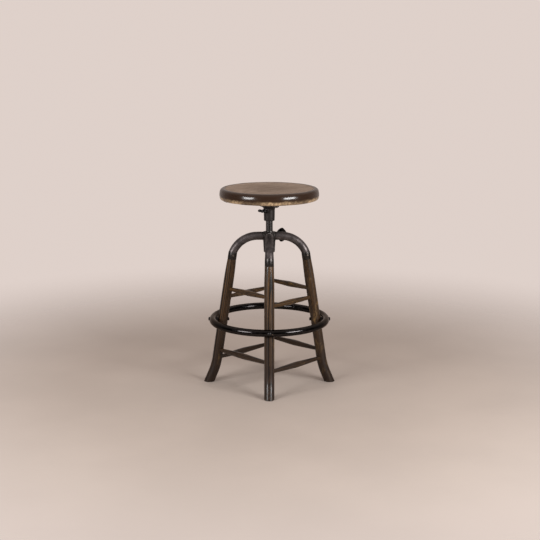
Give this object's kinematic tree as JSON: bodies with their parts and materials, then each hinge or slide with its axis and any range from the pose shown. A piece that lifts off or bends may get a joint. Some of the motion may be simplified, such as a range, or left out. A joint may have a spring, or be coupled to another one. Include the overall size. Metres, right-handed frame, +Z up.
{
  "type": "bar stool",
  "caption": "Adjustable swivel bar stool with a round dished wooden seat on a clamped steel post, an arched iron hub, splayed turned wooden legs with rungs, and an iron foot ring.",
  "frame": {"origin": "on the floor, under the middle of the seat", "axes": "+Z up along the post; the front leg stands towards -Y and the right leg towards +X"},
  "size_m": [0.4758, 0.4758, 0.7077],
  "materials": {
    "seat_wood": "satin, worn",
    "leg_wood": "dark stain, worn",
    "rung_wood": "dark stain, worn",
    "cast_iron": "as cast, waxed",
    "post_steel": "dark polished",
    "steel": "plain",
    "black_enamel": "gloss, worn",
    "black_iron": "satin",
    "bronze": "plain"
  },
  "bodies": {
    "frame": {"hub_spider": "cast_iron", "leg_ferrules": "black_enamel", "ferrule_pins": "steel", "leg_front": "leg_wood", "leg_right": "leg_wood", "leg_back": "leg_wood", "leg_left": "leg_wood", "rung_upper_front_right": "rung_wood", "rung_upper_back_right": "rung_wood", "rung_upper_back_left": "rung_wood", "rung_upper_front_left": "rung_wood", "rung_lower_front_right": "rung_wood", "rung_lower_back_right": "rung_wood", "rung_lower_back_left": "rung_wood", "rung_lower_front_left": "rung_wood", "foot_ring": "black_enamel", "ring_spacers": "black_iron", "ring_bolts": "black_iron", "ring_washers": "black_iron", "ring_nuts": "black_iron"},
    "post": {"seat_post": "post_steel", "stop_collar": "steel", "stop_pin": "steel"},
    "seat": {"seat_board": "seat_wood", "seat_bracket": "cast_iron", "seat_screws": "steel", "thrust_washer": "bronze"},
    "wing": {"wing_screw": "black_iron"},
    "clamp": {"clamp_knob": "black_iron", "clamp_screw": "steel", "clamp_pad": "bronze"}
  },
  "joints": [
    {"name": "seat_height", "type": "slide", "parent": "frame", "child": "post", "axis": [0, 0, 1], "range_m": [-0.038, 0.13]},
    {"name": "seat_swivel", "type": "hinge", "parent": "post", "child": "seat", "pos_m": [0, 0, 0.592], "axis": [0, 0, 1], "continuous": true},
    {"name": "wing_turn", "type": "hinge", "parent": "seat", "child": "wing", "pos_m": [0, 0, 0.6311], "axis": [-0.5807, -0.8141, 0], "range_deg": [0, 540]},
    {"name": "clamp_turn", "type": "hinge", "parent": "frame", "child": "clamp", "pos_m": [0, 0, 0.5336], "axis": [0.7071, 0.7071, 0], "range_deg": [0, 540]}
  ]
}
